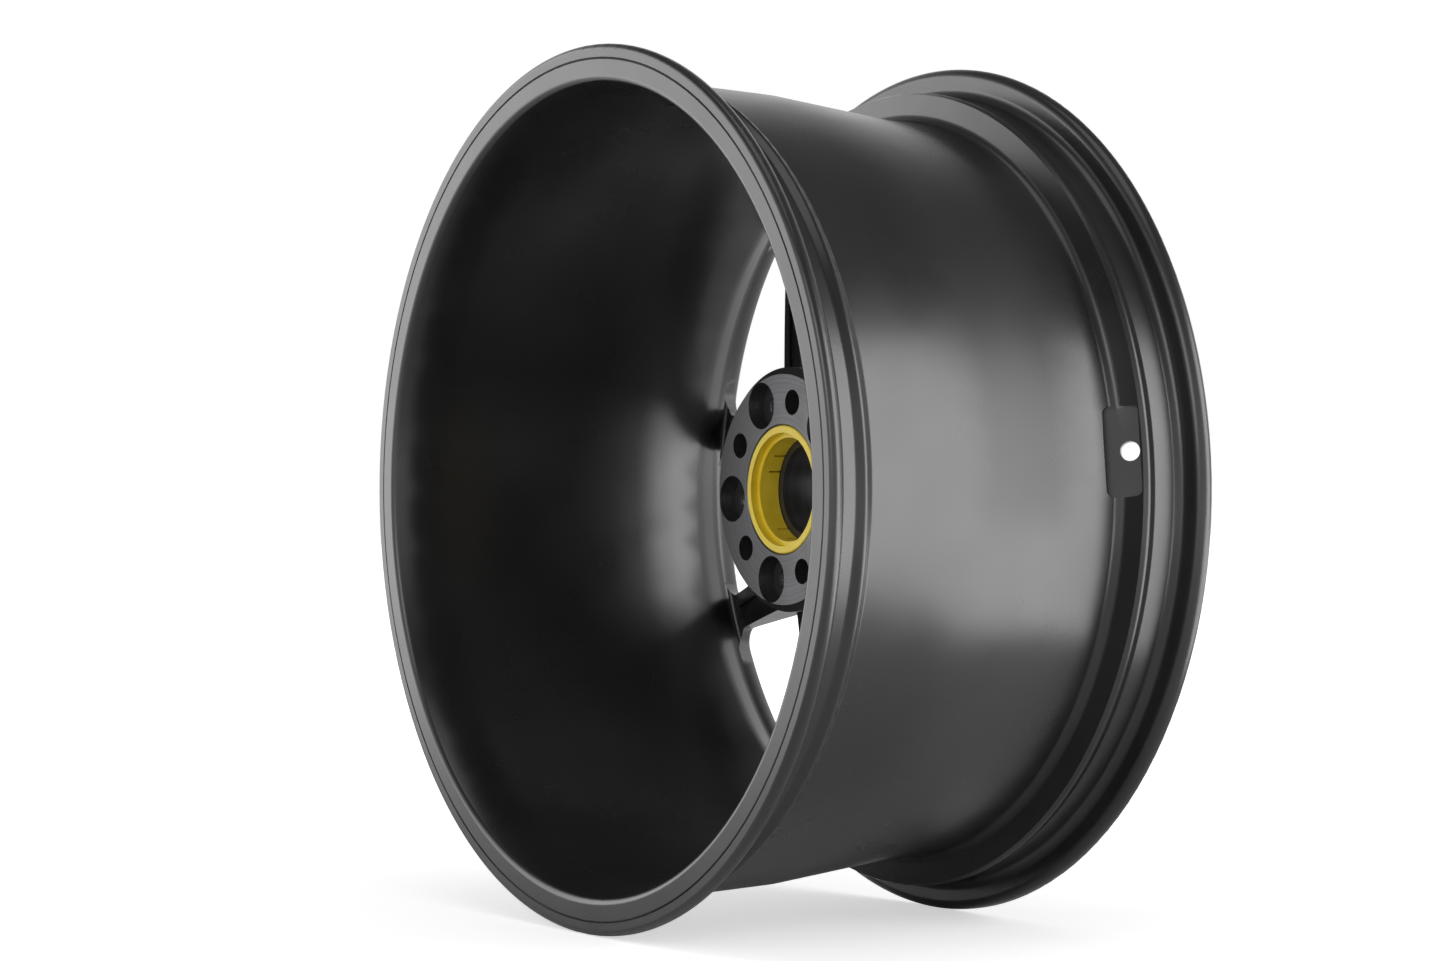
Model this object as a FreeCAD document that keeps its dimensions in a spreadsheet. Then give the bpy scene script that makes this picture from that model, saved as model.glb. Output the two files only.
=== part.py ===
"""Cast alloy car wheel with its bolt-circle adapter, two centring rings and five cone-seat bolts.

The wheel's axis is Y, the road face looks along +Y and Z is up. The origin is the wheel's centre.
"""
import FreeCAD
import Part
import Sketcher
import math
import os
from FreeCAD import Placement, Rotation, Vector

doc = FreeCAD.newDocument("car_wheel")
sheet = doc.addObject("Spreadsheet::Sheet", "sizes")

# Driving dimensions in millimetres and degrees
SIZES = {
    # Rim
    "rim_width": 241.3,
    "bead_seat_dia": 487.4,
    "flange_height": 17.3,
    "flange_thick": 10.0,
    "lip_round": 3.5,
    "lip_back_round": 6.0,
    "bead_seat_width": 18.0,
    "bead_seat_drop": 1.5,
    "hump_height": 1.6,
    "hump_run": 11.0,
    "inboard_land_drop": 2.7,
    "barrel_bend_drop": 5.9,
    "barrel_bend_inset": 156.65,
    "well_depth": 16.8,
    "well_width": 26.0,
    "well_wall_inset": 40.65,
    "barrel_wall": 7.0,
    "mouth_round": 4.5,
    "mouth_depth": 9.0,
    "front_lip_width": 15.0,
    "front_lip_round": 2.5,
    "face_line_inset": 8.4,
    "face_line_width": 1.4,
    "face_line_depth": 1.0,
    # Hub and spokes
    "wheel_offset": 40.0,
    "pad_dia": 149.0,
    "pad_edge_chamfer": 1.0,
    "pad_stand": 22.0,
    "hub_depth": 68.0,
    "hub_front_dia": 96.0,
    "spoke_root_drop": 12.65,
    "spoke_root_round": 3.0,
    "spoke_root_run": 14.0,
    "spoke_root_lap": 0.3,
    "dish_rim_inset": 9.0,
    "dish_rim_drop": 1.6,
    "spoke_embed": 5.0,
    "window_rear_inset": 36.5,
    "window_rear_drop": 34.25,
    "window_front_inset": 21.0,
    "window_front_drop": 4.85,
    "window_corner_round": 11.0,
    "pair_draft": 2.5,
    "vee_draft": 4.5,
    "spoke_edge_round": 3.0,
    "cut_overrun": 10.0,
    "spoke_count": 5,
    "bolt_direction": 186.0,
    "pair_inner_reach": 84.0,
    "pair_inner_half": 34.2,
    "pair_outer_half": 46.6,
    "pair_outer_reach": 219.0,
    "pair_inner_round": 15.0,
    "vee_apex_reach": 111.5,
    "vee_half_angle": 32.9,
    "vee_apex_round": 7.0,
    "channel_width": 10.0,
    "channel_depth": 2.5,
    "channel_start_reach": 96.0,
    "channel_end_reach": 216.0,
    "spoke_hub_reach": 84.0,
    "spoke_hub_side": 47.7,
    "spoke_rim_reach": 219.0,
    "spoke_rim_side": 61.7,
    # Bores and pockets of the hub
    "centre_bore_dia": 73.1,
    "centre_bore_depth": 8.0,
    "centre_bore_lead": 1.5,
    "hook_groove_width": 3.0,
    "hook_groove_depth": 1.5,
    "cap_bore_dia": 65.0,
    "cap_seat_step": 2.5,
    "cap_seat_depth": 3.0,
    "pad_pocket_inner_wall": 3.95,
    "pad_pocket_outer_wall": 3.0,
    "pad_pocket_width": 23.0,
    "pad_pocket_round": 9.0,
    "pad_pocket_depth": 22.0,
    "pad_notch_width": 16.0,
    "pad_notch_depth": 3.0,
    # Bolts and their seats
    "bolt_circle_dia": 112.0,
    "bolt_hole_clearance": 0.5,
    "bolt_relief_dia": 20.5,
    "bolt_relief_depth": 3.0,
    "bolt_seat_rise": 9.0,
    "bolt_seat_dia": 24.0,
    "lug_well_dia": 30.0,
    "cone_half_angle": 30.0,
    "bolt_thread_dia": 14.0,
    "bolt_shank_length": 27.0,
    "bolt_tip_chamfer": 1.5,
    "bolt_collar_dia": 23.0,
    "bolt_collar_land": 1.5,
    "bolt_seat_gap": 0.05,
    "bolt_hex_across": 17.0,
    "bolt_hex_height": 11.0,
    "bolt_hex_chamfer": 2.2,
    # Valve
    "valve_direction": 5.5,
    "valve_hole_dia": 11.3,
    "valve_seat_inset": 11.7,
    "valve_well_gap": 4.0,
    "valve_tilt": 45.0,
    "valve_wall": 24.0,
    "valve_pocket_width": 52.0,
    "valve_pocket_outer": 6.5,
    "valve_pocket_inner": 14.0,
    "valve_pocket_round": 4.0,
    "valve_pocket_reach": 16.0,
    # Adapter
    "adapter_dia": 149.0,
    "adapter_thick": 30.0,
    "adapter_bevel": 4.3,
    "adapter_edge": 0.8,
    "adapter_bore_dia": 73.1,
    "adapter_bore_depth": 19.0,
    "adapter_bore_lead": 3.4,
    "spigot_length": 14.0,
    "spigot_lead": 1.2,
    "spigot_wall": 4.0,
    "recess_dia": 28.6,
    "recess_depth": 11.0,
    "hub_circle_dia": 108.0,
    "hub_bolt_hole_dia": 15.5,
    "hub_head_dia": 24.0,
    "hub_head_depth": 13.0,
    # Centring rings
    "ring_clearance": 0.05,
    "ring_thick": 4.85,
    "ring_wall": 1.9,
    "ring_band_length": 6.5,
    "ring_cup_depth": 4.8,
    "ring_nose_length": 11.5,
    "ring_nose_step": 2.75,
    "ring_edge": 0.6,
    "ring_tab_width": 10.0,
    "ring_slot_width": 1.2,
    "ring_slot_length": 8.0,
    "ring_hook_length": 2.2,
    "ring_hook_height": 0.9,
    "ring_tab_count": 4,
    "hub_ring_lead": 2.45,
}

for row, (alias, value) in enumerate(SIZES.items(), start=1):
    sheet.set("A%d" % row, alias)
    sheet.set("B%d" % row, str(value))
    sheet.setAlias("B%d" % row, alias)
doc.recompute()


def size(expression):
    """Number that an expression of the sheet's sizes has now."""
    return float(sheet.evalExpression(expression))


def origin_feature(body, role):
    """Origin plane or axis of a body, found by its role."""
    for feature in body.Origin.OriginFeatures:
        if feature.Role == role:
            return feature
    raise ValueError("no origin feature " + role)


def new_body(name):
    """Empty body with the node's name as its label."""
    body = doc.addObject("PartDesign::Body", name)
    body.Label = name
    return body


def new_sketch(body, name, role, turn_axis=None, turn=None, shift=None):
    """Sketch on an origin plane, turned about one of its own axes and shifted along its normal."""
    sketch = body.newObject("Sketcher::SketchObject", name)
    sketch.AttachmentSupport = (origin_feature(body, role), [""])
    sketch.MapMode = "FlatFace"
    if turn is not None:
        sketch.AttachmentOffset = Placement(Vector(0, 0, 0), Rotation(turn_axis, size(turn)))
        sketch.setExpression(".AttachmentOffset.Rotation.Angle", turn)
    if shift is not None:
        sketch.setExpression(".AttachmentOffset.Base.z", shift)
    return sketch


def bind(sketch, kind, places, expression):
    """Dimensional constraint whose value follows an expression."""
    index = sketch.addConstraint(Sketcher.Constraint(kind, *places, size(expression)))
    sketch.setExpression("Constraints[%d]" % index, expression)


def pin_point(sketch, geometry, end, place):
    """Holds one end of a geometry at a pair of expressions measured from the sketch's origin."""
    bind(sketch, "DistanceX", (-1, 1, geometry, end), place[0])
    bind(sketch, "DistanceY", (-1, 1, geometry, end), place[1])


def rounded(before, corner, after, radius):
    """Fillet of a corner: tangent points, centre and whether the path turns left there."""
    inward = (before - corner).normalize()
    outward = (after - corner).normalize()
    half_angle = inward.getAngle(outward) / 2
    reach = radius / math.tan(half_angle)
    bisector = (inward + outward).normalize()
    centre = corner + bisector * (radius / math.sin(half_angle))
    left = inward.cross(outward).z < 0
    return corner + inward * reach, corner + outward * reach, centre, left


def outline(sketch, corners):
    """Closed outline. A corner is (x, y), or (x, y, radius) where it is rounded, all expressions.

    A corner of four items, (x, y, None, "dome"), starts an arc whose centre lies on the y axis.
    """
    places = [Vector(size(c[0]), size(c[1]), 0) for c in corners]
    count = len(corners)
    starts = {}
    stops = {}
    fillets = {}
    for i, corner in enumerate(corners):
        starts[i] = stops[i] = places[i]
        if len(corner) > 2 and corner[2] is not None:
            fillet = rounded(places[i - 1], places[i], places[(i + 1) % count], size(corner[2]))
            stops[i], starts[i] = fillet[0], fillet[1]
            fillets[i] = fillet
    runs = []
    for i, corner in enumerate(corners):
        begin, finish = starts[i], stops[(i + 1) % count]
        if len(corner) == 4:
            runs.append(add_dome_run(sketch, begin, finish))
        else:
            runs.append((sketch.addGeometry(Part.LineSegment(begin, finish), False), 1, 2))
    for i, corner in enumerate(corners):
        last, this = runs[i - 1], runs[i]
        if i in fillets:
            round_corner(sketch, last, this, fillets[i], corner)
        else:
            sketch.addConstraint(Sketcher.Constraint("Coincident", last[0], last[2], this[0], this[1]))
            pin_point(sketch, this[0], this[1], corner)


def add_dome_run(sketch, begin, finish):
    """Arc from begin to finish, clockwise about a centre on the y axis, so that it turns into a sphere."""
    chord = finish - begin
    middle = (begin + finish) * 0.5
    height = middle.y + middle.x * chord.x / chord.y
    centre = Vector(0, height, 0)
    circle = Part.Circle(centre, Vector(0, 0, 1), (begin - centre).Length)
    from_angle = math.atan2(finish.y - height, finish.x)
    to_angle = math.atan2(begin.y - height, begin.x)
    geometry = sketch.addGeometry(Part.ArcOfCircle(circle, from_angle, to_angle), False)
    sketch.addConstraint(Sketcher.Constraint("PointOnObject", geometry, 3, -2))
    return geometry, 2, 1


def round_corner(sketch, last, this, fillet, corner):
    """Adds a fillet between two straight runs and holds the corner that they would meet at."""
    tangent_in, tangent_out, centre, left = fillet
    first, second = (tangent_in, tangent_out) if left else (tangent_out, tangent_in)
    from_angle = math.atan2(first.y - centre.y, first.x - centre.x)
    to_angle = math.atan2(second.y - centre.y, second.x - centre.x)
    circle = Part.Circle(centre, Vector(0, 0, 1), (first - centre).Length)
    arc = sketch.addGeometry(Part.ArcOfCircle(circle, from_angle, to_angle), False)
    end_in, end_out = (1, 2) if left else (2, 1)
    sketch.addConstraint(Sketcher.Constraint("Tangent", last[0], last[2], arc, end_in))
    sketch.addConstraint(Sketcher.Constraint("Tangent", arc, end_out, this[0], this[1]))
    bind(sketch, "Radius", (arc,), corner[2])
    point = sketch.addGeometry(Part.Point(Vector(size(corner[0]), size(corner[1]), 0)), True)
    pin_point(sketch, point, 1, corner)
    sketch.addConstraint(Sketcher.Constraint("PointOnObject", point, 1, last[0]))
    sketch.addConstraint(Sketcher.Constraint("PointOnObject", point, 1, this[0]))


def revolve(body, name, corners, kind="PartDesign::Revolution", turn=None, axis_reach=None):
    """Full turn of an outline (radius, axial) about Y, or about a line parallel to Y at axis_reach."""
    sketch = new_sketch(body, name + "_outline", "XY_Plane", Vector(0, 1, 0), turn)
    outline(sketch, corners)
    axis = "V_Axis"
    if axis_reach is not None:
        reach = size(axis_reach)
        line = sketch.addGeometry(Part.LineSegment(Vector(reach, 0, 0), Vector(reach, 1, 0)), True)
        pin_point(sketch, line, 1, (axis_reach, "0"))
        pin_point(sketch, line, 2, (axis_reach, "1"))
        axis = "Axis0"
    feature = body.newObject(kind, name)
    feature.Profile = sketch
    feature.ReferenceAxis = (sketch, [axis])
    feature.Angle = 360
    return feature


def repeat(body, name, feature, count):
    """Polar pattern of a feature about Y."""
    pattern = body.newObject("PartDesign::PolarPattern", name)
    pattern.Originals = [feature]
    pattern.Axis = (origin_feature(body, "Y_Axis"), [""])
    pattern.Angle = 360
    pattern.setExpression("Occurrences", count)
    body.Tip = pattern
    return pattern


def cut_along_y(body, name, corners, start, depth, turn):
    """Pocket of an outline (reach, side) from the plane y = start towards +Y."""
    sketch = new_sketch(body, name + "_outline", "XZ_Plane", Vector(0, 0, 1), turn, "-(%s)" % start)
    outline(sketch, corners)
    pocket = body.newObject("PartDesign::Pocket", name)
    pocket.Profile = sketch
    pocket.Type = 0
    pocket.Reversed = False
    pocket.setExpression("Length", depth)
    return pocket


def rectangle(inner, outer, width, radius=None):
    """Corners of a rectangle from inner to outer reach, centred on the reach's line."""
    half = "(%s) / 2" % width
    places = [(inner, "-" + half), (outer, "-" + half), (outer, half), (inner, half)]
    if radius is None:
        return places
    return [place + (radius,) for place in places]


# Heights and radii that several pieces share
HALF_WIDTH = "(sizes.rim_width / 2 + sizes.flange_thick)"
SEAT = "(sizes.bead_seat_dia / 2)"
LIP = "(sizes.bead_seat_dia / 2 + sizes.flange_height)"
WELL = "(sizes.bead_seat_dia / 2 - sizes.well_depth)"
WELL_WALL_Y = "(%s - sizes.well_wall_inset)" % HALF_WIDTH
WINDOW_REAR_R = "(%s - sizes.window_rear_inset)" % LIP
WINDOW_REAR_Y = "(%s - sizes.window_rear_drop)" % HALF_WIDTH
WINDOW_FRONT_R = "(%s - sizes.window_front_inset)" % LIP
WINDOW_FRONT_Y = "(%s - sizes.window_front_drop)" % HALF_WIDTH
WALL_SLOPE = "((%s - %s) / (%s - %s))" % (WINDOW_FRONT_R, WINDOW_REAR_R, WINDOW_FRONT_Y, WINDOW_REAR_Y)
ROOT_Y = "(%s - sizes.spoke_root_drop)" % HALF_WIDTH
ROOT_R = "(%s + sizes.spoke_root_lap + (%s - %s) * %s)" % (WINDOW_REAR_R, ROOT_Y, WINDOW_REAR_Y, WALL_SLOPE)
PAD_Y = "sizes.wheel_offset"
PAD_R = "(sizes.pad_dia / 2)"
HUB_FRONT_Y = "(sizes.wheel_offset + sizes.hub_depth)"
BORE_R = "(sizes.centre_bore_dia / 2)"
NOSE_R = "(sizes.centre_bore_dia / 2 - sizes.ring_nose_step)"
SPIGOT_R = "(sizes.centre_bore_dia / 2 - sizes.ring_thick)"
BOLT_SEAT_Y = "(sizes.wheel_offset + sizes.bolt_seat_rise)"
BOLT_HOLE_R = "(sizes.bolt_thread_dia / 2 + sizes.bolt_hole_clearance)"
HUB_FACE_Y = "(sizes.wheel_offset - sizes.adapter_thick)"
HUB_DIRECTION = "(sizes.bolt_direction - 180 / sizes.spoke_count)"
SPOKE_SLOPE = "((%s - %s - sizes.pad_stand) / (%s - %s))" % (ROOT_Y, PAD_Y, ROOT_R, PAD_R)


def rim_outline():
    """Section of the rim: flanges, bead seats, humps, drop-centre well and barrel wall."""
    flange = "(sizes.rim_width / 2)"
    hump_foot = "(sizes.rim_width / 2 - sizes.bead_seat_width)"
    hump_end = "(sizes.rim_width / 2 - sizes.bead_seat_width - sizes.hump_run)"
    hump_mid = "(sizes.rim_width / 2 - sizes.bead_seat_width - sizes.hump_run / 2)"
    seat_low = SEAT + " - sizes.bead_seat_drop"
    crest = SEAT + " + sizes.hump_height"
    land = SEAT + " - sizes.inboard_land_drop"
    bend = SEAT + " - sizes.barrel_bend_drop"
    wall = "sizes.barrel_wall"
    bend_y = HALF_WIDTH + " - sizes.barrel_bend_inset"
    well_y = WELL_WALL_Y + " - sizes.well_width"
    face_line = LIP + " - sizes.face_line_inset"
    half_line = "sizes.face_line_width / 2"
    lip_in = LIP + " - sizes.front_lip_width"
    return [
        (LIP, "-" + HALF_WIDTH, "sizes.lip_round"),
        (LIP, "-" + flange, "sizes.lip_back_round"),
        (SEAT, "-" + flange, "sizes.lip_back_round"),
        (seat_low, "-" + hump_foot, "sizes.lip_round"),
        (crest, "-" + hump_mid, "sizes.lip_round"),
        (land, "-" + hump_end, "sizes.lip_round"),
        (bend, bend_y),
        (WELL, well_y),
        (WELL, WELL_WALL_Y, "sizes.lip_back_round"),
        (SEAT, WELL_WALL_Y + " + sizes.lip_round"),
        (crest, hump_mid, "sizes.lip_round"),
        (seat_low, hump_foot, "sizes.lip_round"),
        (SEAT, flange, "sizes.lip_back_round"),
        (LIP, flange, "sizes.lip_back_round"),
        (LIP, HALF_WIDTH, "sizes.lip_round"),
        (lip_in, HALF_WIDTH, "sizes.front_lip_round"),
        (WINDOW_FRONT_R, WINDOW_FRONT_Y),
        (WINDOW_REAR_R, WINDOW_REAR_Y),
        (WELL + " - " + wall, WELL_WALL_Y + " - sizes.lip_round"),
        (WELL + " - " + wall, well_y),
        (bend + " - " + wall, bend_y),
        (land + " - " + wall, "-" + HALF_WIDTH + " + sizes.mouth_depth + sizes.barrel_wall"),
        (WINDOW_FRONT_R, "-" + HALF_WIDTH, "sizes.mouth_round"),
        (face_line + " - " + half_line, "-" + HALF_WIDTH),
        (face_line, "-" + HALF_WIDTH + " + sizes.face_line_depth"),
        (face_line + " + " + half_line, "-" + HALF_WIDTH),
    ]


def disc_outline():
    """Section of the hub and spokes before the windows are cut, from the cap bore to inside the rim."""
    nose = NOSE_R + " + sizes.ring_clearance"
    groove = nose + " + sizes.hook_groove_depth"
    cap = "sizes.cap_bore_dia / 2"
    cap_seat = cap + " + sizes.cap_seat_step"
    step_y = PAD_Y + " + sizes.centre_bore_depth"
    hook_y = step_y + " + sizes.ring_nose_length - sizes.ring_hook_length - sizes.ring_clearance"
    groove_y = hook_y + " + sizes.hook_groove_width"
    cap_seat_y = HUB_FRONT_Y + " - sizes.cap_seat_depth"
    flange = "sizes.rim_width / 2"
    dish_rim = LIP + " - sizes.dish_rim_inset"
    dish_rim_y = HALF_WIDTH + " - sizes.dish_rim_drop"
    root_end = ROOT_R + " - sizes.spoke_root_run * " + WALL_SLOPE
    root_end_y = ROOT_Y + " - sizes.spoke_root_run"
    return [
        (cap, groove_y),
        (groove, groove_y),
        (groove, hook_y),
        (nose, hook_y),
        (nose, step_y),
        (BORE_R, step_y),
        (BORE_R, PAD_Y + " + sizes.centre_bore_lead"),
        (BORE_R + " + sizes.centre_bore_lead", PAD_Y),
        (PAD_R + " - sizes.pad_edge_chamfer", PAD_Y),
        (PAD_R, PAD_Y + " + sizes.pad_edge_chamfer"),
        (PAD_R, PAD_Y + " + sizes.pad_stand"),
        (ROOT_R, ROOT_Y, "sizes.spoke_root_round"),
        (root_end, root_end_y),
        (root_end + " + sizes.spoke_embed", root_end_y),
        (WINDOW_FRONT_R, flange + " - sizes.lip_round"),
        (dish_rim, flange + " + sizes.lip_round"),
        (dish_rim, dish_rim_y, None, "dome"),
        ("sizes.hub_front_dia / 2", HUB_FRONT_Y),
        (cap_seat, HUB_FRONT_Y),
        (cap_seat, cap_seat_y),
        (cap, cap_seat_y),
    ]


def window_sketch(body, name, turn, height, outer_radius, spread, inner_edge=None):
    """Window outline at one height: two sides through named points, an outer arc and rounded corners.

    With inner_edge the window has a straight inner end there; without it the sides meet in an apex.
    """
    sketch = new_sketch(body, name, "XZ_Plane", Vector(0, 0, 1), turn, "-(%s)" % height)
    radius = size(outer_radius)
    corner = size("sizes.window_corner_round")
    if inner_edge is None:
        near = ("sizes.vee_apex_reach", spread)
        far = ("sizes.pair_outer_reach",
               spread + " + (sizes.pair_outer_reach - sizes.vee_apex_reach) * tan(sizes.vee_half_angle)")
        inner_round = "sizes.vee_apex_round"
    else:
        near = (inner_edge, "sizes.pair_inner_half + " + spread)
        far = ("sizes.pair_outer_reach", "sizes.pair_outer_half + " + spread)
        inner_round = "sizes.pair_inner_round"
    p = Vector(size(near[0]), size(near[1]), 0)
    q = Vector(size(far[0]), size(far[1]), 0)
    along = (q - p).normalize()
    inside = Vector(along.y, -along.x, 0)
    base = p + inside * corner
    dot = base.dot(along)
    travel = -dot + math.sqrt(dot ** 2 - base.dot(base) + (radius - corner) ** 2)
    outer_centre = base + along * travel
    side_end = outer_centre - inside * corner
    arc_end = outer_centre * (radius / (radius - corner))
    small = size(inner_round)
    if inner_edge is None:
        lift = -p.y / along.y
        apex = p + along * lift
        half = math.atan2(along.y, along.x)
        inner_centre = apex + Vector(small / math.sin(half), 0, 0)
    else:
        base = p + inside * small
        reach = (p.x + small - base.x) / along.x
        inner_centre = base + along * reach
    side_start = inner_centre - inside * small

    def flip(v):
        return Vector(v.x, -v.y, 0)

    def arc(centre, begin, finish):
        circle = Part.Circle(centre, Vector(0, 0, 1), (begin - centre).Length)
        from_angle = math.atan2(begin.y - centre.y, begin.x - centre.x)
        to_angle = math.atan2(finish.y - centre.y, finish.x - centre.x)
        return sketch.addGeometry(Part.ArcOfCircle(circle, from_angle, to_angle), False)

    def line(begin, finish):
        return sketch.addGeometry(Part.LineSegment(begin, finish), False)

    lower = line(flip(side_start), flip(side_end))
    lower_corner = arc(flip(outer_centre), flip(side_end), flip(arc_end))
    rim_arc = arc(Vector(0, 0, 0), flip(arc_end), arc_end)
    upper_corner = arc(outer_centre, arc_end, side_end)
    upper = line(side_end, side_start)
    ring = [lower, lower_corner, rim_arc, upper_corner, upper]
    if inner_edge is None:
        ring.append(arc(inner_centre, side_start, flip(side_start)))
        inner_arcs = ring[5:]
    else:
        edge_top = Vector(inner_centre.x - small, inner_centre.y, 0)
        ring.append(arc(inner_centre, side_start, edge_top))
        ring.append(line(edge_top, flip(edge_top)))
        ring.append(arc(flip(inner_centre), flip(edge_top), flip(side_start)))
        inner_arcs = [ring[5], ring[7]]
    for i, geometry in enumerate(ring):
        after = ring[(i + 1) % len(ring)]
        sketch.addConstraint(Sketcher.Constraint("Tangent", geometry, 2, after, 1))
    for geometry in (lower_corner, upper_corner):
        bind(sketch, "Radius", (geometry,), "sizes.window_corner_round")
    for geometry in inner_arcs:
        bind(sketch, "Radius", (geometry,), inner_round)
    bind(sketch, "Radius", (rim_arc,), outer_radius)
    sketch.addConstraint(Sketcher.Constraint("Coincident", rim_arc, 3, -1, 1))
    for side, geometry in ((1, upper), (-1, lower)):
        for place in (near, far):
            sideways = place[1] if side > 0 else "-(%s)" % place[1]
            point = sketch.addGeometry(Part.Point(Vector(size(place[0]), size(sideways), 0)), True)
            pin_point(sketch, point, 1, (place[0], sideways))
            sketch.addConstraint(Sketcher.Constraint("PointOnObject", point, 1, geometry))
    if inner_edge is not None:
        sketch.addConstraint(Sketcher.Constraint("Vertical", ring[6]))
        bind(sketch, "DistanceX", (-1, 1, ring[6], 1), inner_edge)
    return sketch


def cut_windows(body, name, turn, rear_spread, front_spread, inner_edge=None):
    """Five equal windows, each a loft from a rear outline to a front one of another width."""
    sections = []
    for place, height, spread in (
        ("rear", PAD_Y + " + sizes.pad_stand / 2", rear_spread),
        ("front", HALF_WIDTH, front_spread),
    ):
        outer = "(%s + (%s - %s) * %s)" % (WINDOW_REAR_R, height, WINDOW_REAR_Y, WALL_SLOPE)
        sections.append(window_sketch(body, name + "_" + place, turn, height, outer, spread, inner_edge))
    loft = body.newObject("PartDesign::SubtractiveLoft", name)
    loft.Profile = sections[0]
    loft.Sections = sections[1:]
    loft.Ruled = True
    doc.recompute()
    return repeat(body, name + "_ring", loft, "sizes.spoke_count")


def round_spoke_fronts(body):
    """Rounds the front edges of the spokes, where the windows' lofted walls meet the dished face."""
    doc.recompute()
    windows = body.Tip
    dished = [face for face in windows.Shape.Faces if face.Surface.TypeId == "Part::GeomSphere"]
    window_edges = []
    for number, edge in enumerate(windows.Shape.Edges, start=1):
        on_dish = any(edge.isSame(other) for face in dished for other in face.Edges)
        if on_dish and edge.Curve.TypeId != "Part::GeomCircle":
            window_edges.append("Edge%d" % number)
    fillet = body.newObject("PartDesign::Fillet", "spoke_front_rounds")
    fillet.Base = (windows, window_edges)
    fillet.setExpression("Radius", "sizes.spoke_edge_round")
    body.Tip = fillet


def cut_spoke_channels(body):
    """Shallow channel along the back of each spoke, lofted between a hub section and a rim section."""
    widening = "(sizes.spoke_rim_side - sizes.spoke_hub_side)"
    run = "(%s / (sizes.spoke_rim_reach - sizes.spoke_hub_reach))" % widening
    for side, sign in (("upper", 1), ("lower", -1)):
        sections = []
        for place in ("start", "end"):
            reach = "sizes.channel_%s_reach" % place
            off = "(sizes.spoke_hub_side + (%s - sizes.spoke_hub_reach) * %s)" % (reach, run)
            radius = "sqrt(%s ^ 2 + %s ^ 2)" % (reach, off)
            back = "(%s + sizes.pad_stand + (%s - %s) * %s)" % (PAD_Y, radius, PAD_R, SPOKE_SLOPE)
            sketch = body.newObject("Sketcher::SketchObject", "channel_%s_%s" % (side, place))
            sketch.AttachmentSupport = (origin_feature(body, "YZ_Plane"), [""])
            sketch.MapMode = "FlatFace"
            sketch.AttachmentOffset = Placement(Vector(0, 0, 0), Rotation(Vector(1, 0, 0), -90))
            sketch.setExpression(".AttachmentOffset.Rotation.Angle", "-sizes.bolt_direction")
            sketch.setExpression(".AttachmentOffset.Base.y", reach + " * sin(sizes.bolt_direction)")
            sketch.setExpression(".AttachmentOffset.Base.z", reach + " * cos(sizes.bolt_direction)")
            centre = off if sign > 0 else "-" + off
            low = centre + " - sizes.channel_width / 2"
            high = centre + " + sizes.channel_width / 2"
            above = back + " - sizes.pad_stand / 2"
            floor = back + " + sizes.channel_depth"
            outline(sketch, [(above, low), (floor, low), (floor, high), (above, high)])
            sections.append(sketch)
        loft = body.newObject("PartDesign::SubtractiveLoft", "channel_" + side)
        loft.Profile = sections[0]
        loft.Sections = sections[1:]
        loft.Ruled = True
        doc.recompute()
        repeat(body, "channel_%s_ring" % side, loft, "sizes.spoke_count")


def bolt_hole_outline():
    """Half section of a bolt hole: relief at the pad, shank clearance, cone seat and lug well."""
    axis = "sizes.bolt_circle_dia / 2"
    hole = axis + " + " + BOLT_HOLE_R
    relief = axis + " + sizes.bolt_relief_dia / 2"
    seat = axis + " + sizes.bolt_seat_dia / 2"
    well = axis + " + sizes.lug_well_dia / 2"
    below = PAD_Y + " - sizes.bolt_relief_depth"
    relief_y = PAD_Y + " + sizes.bolt_relief_depth"
    rise = "(sizes.bolt_seat_dia / 2 - %s) / tan(sizes.cone_half_angle)" % BOLT_HOLE_R
    seat_top = BOLT_SEAT_Y + " + " + rise
    above = HUB_FRONT_Y + " + sizes.cut_overrun"
    return [
        (axis, below),
        (relief, below),
        (relief, relief_y),
        (hole, relief_y),
        (hole, BOLT_SEAT_Y),
        (seat, seat_top),
        (well, seat_top),
        (well, above),
        (axis, above),
    ]


def cut_valve(body):
    """Flat pocket in the well's outer wall and the valve hole square to it."""
    back_off = "sizes.valve_pocket_reach"
    base_x = "%s - sizes.valve_seat_inset + %s * sin(sizes.valve_tilt)" % (SEAT, back_off)
    base_y = "%s + sizes.valve_well_gap - %s * cos(sizes.valve_tilt)" % (WELL_WALL_Y, back_off)
    frame = ("placement(vector(0; 0; 0); rotation(vector(0; 1; 0); -sizes.valve_direction))"
             " * placement(vector(%s; %s; 0); rotation(vector(0; 0; 1); sizes.valve_tilt))"
             " * placement(vector(0; 0; 0); rotation(vector(1; 0; 0); 90))" % (base_x, base_y))
    for name, depth in (("valve_pocket", back_off), ("valve_hole", back_off + " + sizes.valve_wall")):
        sketch = new_sketch(body, name + "_outline", "XY_Plane")
        sketch.setExpression("AttachmentOffset", frame)
        if name == "valve_pocket":
            outline(sketch, rectangle("-sizes.valve_pocket_inner", "sizes.valve_pocket_outer",
                                      "sizes.valve_pocket_width", "sizes.valve_pocket_round"))
        else:
            circle = Part.Circle(Vector(0, 0, 0), Vector(0, 0, 1), size("sizes.valve_hole_dia / 2"))
            hole = sketch.addGeometry(circle, False)
            sketch.addConstraint(Sketcher.Constraint("Coincident", hole, 3, -1, 1))
            bind(sketch, "Radius", (hole,), "sizes.valve_hole_dia / 2")
        cut = body.newObject("PartDesign::Pocket", name)
        cut.Profile = sketch
        cut.Type = 0
        cut.setExpression("Length", depth)
    doc.recompute()


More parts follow.
